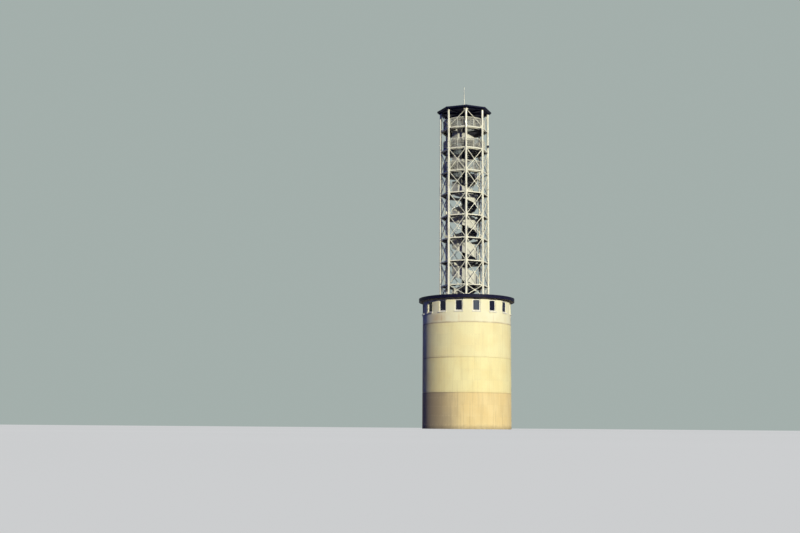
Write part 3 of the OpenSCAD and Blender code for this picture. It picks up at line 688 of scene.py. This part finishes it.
# Bolts hold the beams and diagonals to the joint plates, and a round plate ties each cross.
PLATE_BOLTS = ((0.035, 0.122), (0.035, 0.08), (0.095, 0.08),
               (0.035, -0.122), (0.035, -0.08), (0.095, -0.08))
CROSS_PLATE = ((0.0, 0.0), (0.1, 0.0), (0.104, 0.003), (0.104, 0.071), (0.1, 0.074), (0.0, 0.074))
INWARDS = Matrix.Rotation(math.radians(-90), 4, "Y")
tops = [BASE_LEVEL] + LEVELS
joint_bolts, cross_plates = Stock(), Stock()
for k in range(POSTS):
    side = at_side(k, SIDE_R)
    for n, top in enumerate(tops):
        z = top - BEAM_H / 2
        for s in (-1, 1):
            for dy, dz in PLATE_BOLTS:
                if (n == 0 and dz < 0) or (n == len(tops) - 1 and dz > 0):
                    continue
                y = s * (HALF_SIDE - POST_R - dy)
                for x, facing in ((0.008, OUTWARDS), (-0.008, INWARDS)):
                    place = side @ Matrix.Translation((x, y, z + dz)) @ facing
                    hex_bolt(joint_bolts, place, 0.012, 0.013)
            for dy in (0.05, 0.13):
                y = s * (HALF_SIDE - POST_R - dy)
                for dz in (-0.03, 0.03):
                    place = side @ Matrix.Translation((0.05, y, z + dz)) @ OUTWARDS
                    hex_bolt(joint_bolts, place, 0.011, 0.012)
        if n:
            middle = (tops[n - 1] + top - BEAM_H) / 2
            place = side @ Matrix.Translation((-0.037, 0, middle)) @ OUTWARDS
            cross_plates.turned(place, CROSS_PLATE, 24, ends=False)
            for b in range(4):
                spot = place @ Matrix.Translation(on_circle(0.062, b, 4, 0.074))
                hex_bolt(joint_bolts, spot, 0.011, 0.012)
joint_bolts.piece("joint_bolts", "steel", bolt_zinc)
cross_plates.piece("cross_plates", "steel", tower_paint, smooth=35)


# Level floors and spokes. Welded steel spokes run from the stair's well to the posts and
# carry floor plates of dark chequered steel, with a stiffener along the middle of each.
def floor_steel(name, light, dark, rust):
    f = Finish(name, metallic=0.35)
    cloud = f.noise(1.6, 4.0)
    specks = f.noise(45.0, 3.0)
    x = f.part(f.place, "X") * 28.0
    y = f.part(f.place, "Y") * 28.0
    diagonal = f.near((x + y) % 2.0, 1.0, 0.34) * f.near((x - y) % 1.0, 0.5, 0.42)
    other = f.near((x + y) % 2.0, 0.0, 0.3) * f.near((x - y) % 1.0, 0.5, 0.42)
    tears = (diagonal + other) * f.upward(0.6, 0.9)
    worn = f.mix(f.band(cloud, 0.38, 0.68), dark, light)
    worn = f.mix(tears * 0.5, worn, (0.34, 0.34, 0.35))
    worn = f.mix(f.band(f.noise(5.0, 5.0), 0.6, 0.74) * rust, worn, (0.17, 0.075, 0.035))
    worn = f.tint(worn, 0.9 + 0.2 * specks)
    return f.done(worn, 0.5 + 0.25 * cloud - 0.15 * tears, tears + specks * 0.25, 0.003, 0.6)


dark_floor = floor_steel("chequered_floor", (0.1, 0.1, 0.115), (0.045, 0.045, 0.056), 0.5)
for node in ["level_spokes", "level_plates", "stair_landings"] + \
        ["stair_treads_%d" % n for n in range(1, 5)]:
    dress(node, dark_floor)

WELL_R = 1.56
PLATE_T = 0.04
stiffeners, clips = Stock(), Stock()
for level in LEVELS[:5]:
    for k in range(POSTS):
        place = at_side(k, 0.0, level - PLATE_T)
        along = (WELL_R + 0.03, SIDE_R - 0.06)
        stiffeners.block(place, along, (-0.004, 0.004), (-0.06, 0.001))
        stiffeners.block(place, along, (-0.03, 0.03), (-0.066, -0.06))
        spoke = at_post(k, 0.0, level)
        for r in (1.75, 2.05, 2.35):
            for s in (-1, 1):
                hex_bolt(clips, spoke @ Matrix.Translation((r, s * 0.07, 0.0)), 0.01, 0.008)
stiffeners.piece("plate_stiffeners", "floor_steel", dark_floor)
clips.piece("plate_bolts", "floor_steel", bolt_zinc)


# Spiral stair. Steel treads welded to the centre column climb clockwise; each has a ribbed
# nosing and a toe plate, and the sided railing of sheet panels has a tube on top.
def sheet_steel(name, clean, grey, rust):
    f = Finish(name, coat=0.05)
    cloud = f.noise(1.1, 4.0)
    runs = f.runs(9.0, 0.45, 0.47, 0.74)
    specks = f.noise(50.0, 3.0)
    blister = f.band(f.noise(12.0, 5.0, 0.65), 0.64, 0.74)
    painted = f.mix(f.band(cloud, 0.4, 0.68) * 0.5 + runs * 0.35, clean, grey)
    painted = f.mix(blister * rust, painted, (0.25, 0.12, 0.05))
    painted = f.tint(painted, 0.94 + 0.12 * specks)
    rough = 0.45 + 0.2 * cloud + 0.2 * blister
    return f.done(painted, rough, specks * 0.3 - blister * 0.6, 0.002, 0.35)


def worn_nosing():
    f = Finish("worn_nosing", metallic=0.6)
    scuffs = f.noise(14.0, 4.0)
    worn = f.mix(f.band(scuffs, 0.4, 0.65), (0.4, 0.39, 0.36), (0.19, 0.18, 0.17))
    return f.done(worn, 0.42, scuffs, 0.001)


sheet_finish = sheet_steel("railing_paint", (0.7, 0.69, 0.57), (0.42, 0.41, 0.36), 0.45)
for node in ["stair_rails_%d" % n for n in range(1, 5)] + \
        ["deck_lower_rail", "deck_middle_rail", "deck_top_rail"]:
    dress(node, sheet_finish)

COLUMN_R = 0.26
STAIR_R = 1.38
STAIR_START = 160.0
TREADS = 112
TREAD_TURN = 20.0
PANEL_ANGLE = 40.0
RISE = 0.175
nosings, toe_plates, column_welds = Stock(), Stock(), Stock()
for i in range(TREADS):
    z = ROOF_TOP + (i + 1) * RISE
    a = STAIR_START - TREAD_TURN * i
    reach = STAIR_R / math.cos(math.radians(a % PANEL_ANGLE - PANEL_ANGLE / 2))
    place = on_tower(a, 0.0, z)
    along = (COLUMN_R + 0.05, reach - 0.03)
    nosings.block(place, along, (-0.05, 0.002), (0.0, 0.004))
    for rib in range(3):
        nosings.block(place, along, (-0.012 - 0.014 * rib, -0.006 - 0.014 * rib), (0.004, 0.007))
    toe_plates.block(place, (COLUMN_R + 0.02, reach - 0.02), (0.03, 0.034), (-0.125, -0.045))
    for s in (0.12, 0.3):
        weld = on_tower(a - TREAD_TURN * s, COLUMN_R - 0.002, z - 0.049) @ OUTWARDS
        column_welds.turned(weld, [(0.012, 0.0), (0.01, 0.006), (0.0, 0.008)], 8, ends=False)
nosings.piece("tread_nosings", "floor_steel", worn_nosing())
toe_plates.piece("tread_toe_plates", "floor_steel", dark_floor)
column_welds.piece("tread_welds", "steel", tower_paint)

# The handrail tube stands on short brackets over each panel and turns at each post. Rivets
# hold the sheets to their frames. Two panels are left out, where the stair meets decks.
RAIL_H = 1.1
GRIP_UP = 0.035
GRIP_R = 0.021
BRACKET_R = 0.008
HALF_PANEL = STAIR_R * math.tan(math.radians(PANEL_ANGLE / 2))
EXITS = (41, 49)


def tube(stock, place, a, b, r, sides=12):
    """A round bar between two points of a place."""
    a, b = place @ Vector(a), place @ Vector(b)
    turn = (b - a).normalized().to_track_quat("Z", "Y").to_matrix().to_4x4()
    stock.turned(Matrix.Translation(a) @ turn, [(r, 0.0), (r, (b - a).length)], sides)


grips, brackets, rivets = Stock(), Stock(), Stock()
for j in range(TREADS // 2):
    if j in EXITS:
        continue
    middle = ROOF_TOP + (2 * j + 1) * RISE + RISE
    place = on_tower(STAIR_START - (j + 0.5) * PANEL_ANGLE, STAIR_R + 0.02)
    half = HALF_PANEL - 0.008
    climb = RISE * half / HALF_PANEL
    tube(grips, place, (0, -half, middle + climb + RAIL_H + GRIP_UP),
         (0, half, middle - climb + RAIL_H + GRIP_UP), GRIP_R)
    for s in (-0.8, 0.0, 0.8):
        y = s * half
        z = middle - RISE * y / HALF_PANEL + RAIL_H
        tube(brackets, place, (0, y, z - 0.004), (0, y, z + 0.02), BRACKET_R, 8)
    for s in (-1, 1):
        y = s * (half - 0.055)
        for n in range(5):
            z = middle - RISE * y / HALF_PANEL + 0.16 + 0.2 * n
            rivet = place @ Matrix.Translation((0.0045, y, z)) @ OUTWARDS
            hex_bolt(rivets, rivet, 0.008, 0.005, washer=False)
grips.piece("stair_handrail", "sheet_steel", tower_paint, smooth=40)
brackets.piece("handrail_brackets", "steel", tower_paint, smooth=40)
rivets.piece("sheet_rivets", "sheet_steel", bolt_zinc)


# Viewing decks. Round floors of dark plate on joists, with a deep pale band round the edge,
# bolted together beside each post and halfway between them. The lower deck runs round only
# five of the eight sides.
DECK_R = 2.46
LOWER_DECK, MIDDLE_DECK = LEVELS[5:]
TOP_DECK = 34.335
JOIST_TURNS = (15.0, 30.0)
JOINT_TURNS = (2.2, 22.5, 42.8)
JOINT_BOLTS = ((-0.03, -0.06), (0.03, -0.06), (-0.03, 0.06), (0.03, 0.06))
joists, band_straps, deck_bolts = Stock(), Stock(), Stock()
for level, first, last in ((LOWER_DECK, 4, 9), (MIDDLE_DECK, 0, 8), (TOP_DECK, 0, 8)):
    for k in range(first, last):
        for turn in JOIST_TURNS:
            place = on_tower(FIRST_POST + POST_TURN * k + turn, 0.0, level - PLATE_T)
            along = (WELL_R + 0.04, DECK_R - 0.014)
            joists.block(place, along, (-0.004, 0.004), (-0.1, 0.001))
            joists.block(place, along, (-0.03, 0.03), (-0.107, -0.1))
        for turn in JOINT_TURNS:
            place = on_tower(FIRST_POST + POST_TURN * k + turn, DECK_R, level - 0.1)
            band_straps.block(place, (-0.002, 0.004), (-0.05, 0.05), (-0.085, 0.085))
            for y, z in JOINT_BOLTS:
                bolt = place @ Matrix.Translation((0.004, y, z)) @ OUTWARDS
                hex_bolt(deck_bolts, bolt, 0.009, 0.008)
joists.piece("deck_joists", "floor_steel", dark_floor)
band_straps.piece("deck_band_straps", "steel", tower_paint)
deck_bolts.piece("deck_band_bolts", "steel", bolt_zinc)


def deck_paint():
    """The band is painted like the lattice, and the floor and underside are dark."""
    f = Finish("deck_band_and_floor", metallic=0.1)
    cloud = f.noise(1.4, 4.0)
    specks = f.noise(50.0, 3.0)
    flat = f.band(f.size_of(f.part(f.facing, "Z")), 0.4, 0.7)
    x = f.part(f.place, "X") - TOWER_X
    y = f.part(f.place, "Y")
    outer = f.band(x * x + y * y, 2.3 ** 2, 2.44 ** 2) * (1 - flat)
    runs = f.runs(9.0, 0.8, 0.5, 0.76)
    band = f.mix(runs * 0.4, (0.84, 0.82, 0.65), (0.52, 0.46, 0.34))
    floor = f.mix(f.band(cloud, 0.38, 0.68), (0.035, 0.035, 0.045), (0.075, 0.075, 0.09))
    floor = f.mix(f.band(f.noise(5.0, 5.0), 0.6, 0.74) * 0.5, floor, (0.15, 0.07, 0.035))
    colour = f.tint(f.mix(outer, floor, band), 0.92 + 0.16 * specks)
    return f.done(colour, 0.48 + 0.2 * cloud, specks, 0.002, 0.4)


deck_finish = deck_paint()
for node in ("deck_lower", "deck_middle", "deck_top"):
    dress(node, deck_finish)


# Deck railings. Handrail tubes run on brackets over the panels, outside and round the well, on
# bolted feet. Wire mesh is tied behind the bars of each panel, and it is made dark as painted shade
# behind the bars.
OUTER_RAIL = 2.361
INNER_RAIL = 1.572
RAIL_DEPTH = 0.04
HALF_RAIL_TURN = 11.25
MESH_R = 0.0022
MESH_PITCH = 0.035
MESH_ROWS = 30
deck_grips, deck_brackets, rail_feet, mesh_dark_as_painted_shade = Stock(), Stock(), Stock(), Stock()


def rail_panel(level, angle, face, mesh_out):
    """A panel's handrail, brackets, feet and mesh, which stands mesh_out beyond its face."""
    half_face = face * math.tan(math.radians(HALF_RAIL_TURN))
    half = half_face - 0.006
    place = on_tower(angle, face + RAIL_DEPTH / 2, level)
    grip_z = RAIL_H + GRIP_UP
    tube(deck_grips, place, (0, -half, grip_z), (0, half, grip_z), GRIP_R)
    for s in (-0.75, 0.0, 0.75):
        y = s * half
        tube(deck_brackets, place, (0, y, RAIL_H - 0.004), (0, y, RAIL_H + 0.02), BRACKET_R, 8)
    for s in (-1, 1):
        foot = place @ Matrix.Translation((0, s * (half - 0.02), 0))
        rail_feet.block(foot, (-0.045, 0.045), (-0.03, 0.03), (0.0, 0.008))
        for x in (-0.033, 0.033):
            bolt = foot @ Matrix.Translation((x, 0, 0.008))
            hex_bolt(rail_feet, bolt, 0.008, 0.008, washer=False)
    place = on_tower(angle, face + mesh_out, level)
    half = half_face - 0.02
    count = int(2 * half / MESH_PITCH)
    for n in range(count + 1):
        y = (n - count / 2) * MESH_PITCH
        mesh_dark_as_painted_shade.block(place, (-MESH_R, MESH_R), (y - MESH_R, y + MESH_R), (0.03, RAIL_H - 0.02))
    for n in range(MESH_ROWS):
        z = 0.045 + n * MESH_PITCH
        mesh_dark_as_painted_shade.block(place, (MESH_R, 3 * MESH_R), (-half, half), (z - MESH_R, z + MESH_R))


def apart(a, b):
    """The angle between two directions."""
    return abs((a - b + 180) % 360 - 180)


# Round the well the railing leaves a gap, where the stair comes up.
for level, first, last, gap_at, gap in (
        (LOWER_DECK, 8, 18, -60.0, 22.5),
        (MIDDLE_DECK, 0, 16, -20.0, 22.5),
        (TOP_DECK, 0, 16, 28.25, 51.75)):
    for m in range(first, last):
        angle = FIRST_POST + 2 * HALF_RAIL_TURN * (m + 0.5)
        rail_panel(level, angle, OUTER_RAIL, -0.012)
        if apart(angle, gap_at) > gap:
            rail_panel(level, angle, INNER_RAIL, 0.045)
deck_grips.piece("deck_handrails", "sheet_steel", tower_paint, smooth=40)
deck_brackets.piece("deck_handrail_brackets", "steel", tower_paint, smooth=40)
rail_feet.piece("rail_feet", "sheet_steel", sheet_finish)
# The mesh takes the dark coat as painted shade behind the bars.
mesh_dark_as_painted_shade.piece("deck_wire_mesh", "dark_metal", dark_metal)


# Lookout roof. A ring and rafters of dark steel carry tongued boards, closed over by a low
# eight-sided roof of dark standing-seam sheet with a folded edge.
def stained_boards_blue_painted_shade():
    f = Finish("stained_boards_blue_painted_shade")
    along = f.noise(1.0, 5.0, 0.6, f.stretched(14.0, 2.0, 14.0))
    cloud = f.noise(1.8, 3.0)
    # The boards are stained near black; the blue in their colour is painted shade.
    wood = f.mix(f.band(along, 0.35, 0.7), (0.006, 0.006, 0.04), (0.014, 0.014, 0.06))
    return f.done(f.tint(wood, 0.85 + 0.3 * cloud), 0.62, along, 0.002, 0.4)


# The roof's steel is coated near black; the blue in its colour is painted shade.
roof_metal = dark_coat("roof_sheet_blue_painted_shade", (0.006, 0.008, 0.034), (0.02, 0.024, 0.055), 0.48)
for node in ("roof_frame", "roof_cover", "post_lamp"):
    dress(node, roof_metal)
board_finish = stained_boards_blue_painted_shade()
dress("roof_soffit", board_finish)

SOFFIT_Z = 36.525
EDGE_TOP = 36.675
PEAK_Z = 37.095
PEAK_R = 0.09
EAVE_R = 3.16
COS_HALF = math.cos(math.radians(POST_TURN / 2))
TAN_HALF = math.tan(math.radians(POST_TURN / 2))
EAVE_SIDE = EAVE_R * COS_HALF
HALF_EAVE = EAVE_SIDE * TAN_HALF
SLOPE = (PEAK_Z - EDGE_TOP) / (EAVE_SIDE - PEAK_R * COS_HALF)
HIP_SLOPE = (PEAK_Z - EDGE_TOP) / (EAVE_R - PEAK_R)
BOARD_W = 0.105
BOARD_PITCH = 0.11
SEAM_PITCH = 0.34
boards, seams, hips, edge_trim = Stock(), Stock(), Stock(), Stock()
for k in range(POSTS):
    side = at_side(k)
    d = 0.3
    while d + BOARD_PITCH < (EAVE_R - 0.05) * COS_HALF:
        w0, w1 = d * TAN_HALF - 0.004, (d + BOARD_W) * TAN_HALF - 0.004
        boards.loops(side, [
            [(d, -w0, z), (d + BOARD_W, -w1, z), (d + BOARD_W, w1, z), (d, w0, z)]
            for z in (SOFFIT_Z - 0.009, SOFFIT_Z + 0.001)])
        d += BOARD_PITCH
    for n in range(-3, 4):
        y = n * SEAM_PITCH
        rings = []
        for x in (max(abs(y) / TAN_HALF, 0.12), EAVE_SIDE - 0.004):
            z = EDGE_TOP + (EAVE_SIDE - x) * SLOPE
            rings.append([(x, y - 0.006, z - 0.01), (x, y + 0.006, z - 0.01),
                          (x, y + 0.009, z + 0.03), (x, y - 0.009, z + 0.03)])
        seams.loops(side, rings)
    rings = []
    for x in (0.1, EAVE_R - 0.01):
        z = EDGE_TOP + (EAVE_R - x) * HIP_SLOPE
        rings.append([(x, -0.035, z - 0.01), (x, 0.035, z - 0.01),
                      (x, 0.012, z + 0.036), (x, -0.012, z + 0.036)])
    hips.loops(at_post(k), rings)
    for z, proud, tall in ((SOFFIT_Z + 0.004, 0.012, 0.014), (EDGE_TOP - 0.012, 0.016, 0.018)):
        rings = []
        for y in (-HALF_EAVE, HALF_EAVE):
            y_out = y * (EAVE_SIDE + proud) / EAVE_SIDE
            rings.append([(EAVE_SIDE - 0.002, y, z), (EAVE_SIDE + proud, y_out, z + tall * 0.3),
                          (EAVE_SIDE + proud, y_out, z + tall * 0.7),
                          (EAVE_SIDE - 0.002, y, z + tall)])
        edge_trim.loops(side, rings)
boards.piece("soffit_boards", "dark_metal", board_finish)
seams.piece("roof_seams", "dark_metal", roof_metal)
hips.piece("roof_hips", "dark_metal", roof_metal)
edge_trim.piece("roof_edge_trim", "dark_metal", roof_metal)


# Mast. A stepped steel tube in a socket on the roof's peak, with a lead collar at its foot
# held by three bolts, clamp bands at the step and a pointed rod at its tip.
mast_parts = Stock()
up = on_tower(0.0, 0.0, PEAK_Z)
mast_parts.turned(up, [(0.17, -0.03), (0.165, 0.0), (0.12, 0.018), (0.098, 0.05), (0.092, 0.09)],
                  32, ends=False)
for z, r in ((0.19, 0.05), (0.8, 0.047), (1.58, 0.047), (1.615, 0.047)):
    mast_parts.turned(up, [(r - 0.006, z - 0.02), (r, z - 0.018), (r, z + 0.018),
                           (r - 0.006, z + 0.02)], 24, ends=False)
mast_parts.turned(up, [(0.042, 1.62), (0.036, 1.66), (0.027, 1.7)], 24, ends=False)
for a in (20, 140, 260):
    bolt = up @ turned_to(a, 0.088, 0.11) @ OUTWARDS
    hex_bolt(mast_parts, bolt, 0.012, 0.02)
mast_parts.piece("mast_fittings", "steel", tower_paint, smooth=35)


# Lamp on the right post. A cast housing on a clamped arm towards the front, with a ribbed
# top, a rim round its glass and a hood.
LAMP_UP = 0.64
LAMP_X = (POST_R + 0.08, POST_R + 0.26)
lamp_parts, lamp_rim = Stock(), Stock()
lamp = at_post(2, POST_RING, MIDDLE_DECK + LAMP_UP) @ Matrix.Rotation(math.radians(-90), 4, "Z")
for n in range(6):
    y = -0.1 + 0.04 * n
    lamp_parts.block(lamp, (LAMP_X[0] + 0.01, LAMP_X[1] - 0.01), (y - 0.004, y + 0.004),
                     (0.088, 0.108))
lamp_parts.block(lamp, (LAMP_X[1] - 0.002, LAMP_X[1] + 0.05), (-0.125, 0.125), (0.078, 0.09))
for s in (-1, 1):
    clamp = lamp @ Matrix.Translation((POST_R + 0.05, s * 0.02, 0.0))
    hex_bolt(lamp_parts, clamp @ Matrix.Rotation(math.radians(-90 * s), 4, "X"), 0.009, 0.01)
lamp_parts.piece("lamp_fins", "dark_metal", roof_metal)
mitred(lamp_rim, lamp, 0.12, -0.085, 0.075,
       ((0.0, -0.002), (0.0, 0.006), (0.012, 0.008), (0.018, -0.002)), LAMP_X[1])
lamp_rim.piece("lamp_rim", "dark_metal", roof_metal)


# Plain pale floor round the foot of the drum, 700 m out, so that it reaches the horizon. It
# glows a little where it is seen, and throws hardly any light back on the tower.
def shows_studio(nodes):
    """1 for what the camera sees directly, in metal or through glass, and 0 for lighting."""
    shows = 0.0
    for ray in ("Is Camera Ray", "Is Glossy Ray", "Is Transmission Ray"):
        shows = nodes.node("Math", {"operation": "MAXIMUM"}, {
            0: shows, 1: nodes.node("LightPath", {}, {}, ray)})
    return shows


f = Finish("pale_floor")
f.tree.nodes.remove(f.shader)
pale = f.mix(f.noise(0.08, 2.0), (0.6, 0.61, 0.58), (0.64, 0.65, 0.62))
glow = f.node("Emission", {}, {"Color": pale, "Strength": 1.2})
lit = f.node("BsdfDiffuse", {}, {"Color": pale})
shown = f.node("MixShader", {}, {0: 0.62, 1: lit, 2: glow})
plain = f.node("BsdfDiffuse", {}, {"Color": (0.04, 0.04, 0.045)})
both = f.node("MixShader", {}, {0: shows_studio(f), 1: plain, 2: shown})
f.tree.links.new(both.socket, f.tree.nodes["Material Output"].inputs["Surface"])
ground = Stock()
ground.loops(Matrix(), [[on_circle(r, i, 64, -0.002) for i in range(64)] for r in (0.001, 700.0)],
             ends=False)
mesh = bpy.data.meshes.new("floor")
mesh.from_pydata(ground.corners, [], ground.faces)
mesh.materials.append(f.material)
floor = bpy.data.objects.new("floor", mesh)
bpy.context.scene.collection.objects.link(floor)

# Three far lamps, each given by its direction right of the front, height, strength, width
# and colour: a hard main one low at the front right, and two soft ones for the right side
# and the back. A faint blue light comes from all round, before a plain backdrop.
for name, from_turn, height, strength, width, colour in (
        ("front_lamp", 24.0, 16.0, 3.58, 1.0, (1.0, 0.975, 0.81)),
        ("right_lamp", 88.0, 14.0, 0.3, 10.0, (1.0, 0.97, 0.87)),
        ("back_lamp", 190.0, 28.0, 1.7, 20.0, (1.0, 0.97, 0.9))):
    light = bpy.data.lights.new(name, "SUN")
    light.energy = strength
    light.angle = math.radians(width)
    light.color = colour
    lamp_object = bpy.data.objects.new(name, light)
    a, h = math.radians(from_turn), math.radians(height)
    towards = Vector((math.sin(a) * math.cos(h), -math.cos(a) * math.cos(h), math.sin(h)))
    lamp_object.rotation_euler = towards.to_track_quat("Z", "Y").to_euler()
    bpy.context.scene.collection.objects.link(lamp_object)

world = bpy.data.worlds.new("studio")
bpy.context.scene.world = world
world.use_nodes = True
studio = Nodes(world.node_tree)
studio.tree.nodes.remove(studio.tree.nodes["Background"])
around = studio.node("Background", {}, {"Color": (0.014, 0.03, 0.27)})
backdrop = studio.node("Background", {}, {"Color": (0.37, 0.43, 0.41)})
chosen = studio.node("MixShader", {}, {0: shows_studio(studio), 1: around, 2: backdrop})
studio.tree.links.new(chosen.socket, studio.tree.nodes["World Output"].inputs["Surface"])

# The camera stands on the ground 125 m in front and looks a little up and to the left.
camera = bpy.data.cameras.new("camera")
camera.lens = 49.63
camera.sensor_width = 36.0
camera.clip_end = 2000.0
viewer = bpy.data.objects.new("camera", camera)
aim = Matrix.Translation((0.0, -125.35, 0.115))
for degrees, axis in ((3.489, "Z"), (98.304, "X"), (0.444, "Z")):
    aim = aim @ Matrix.Rotation(math.radians(degrees), 4, axis)
viewer.matrix_world = aim
bpy.context.scene.collection.objects.link(viewer)
bpy.context.scene.camera = viewer
bpy.context.scene.view_settings.view_transform = "Standard"
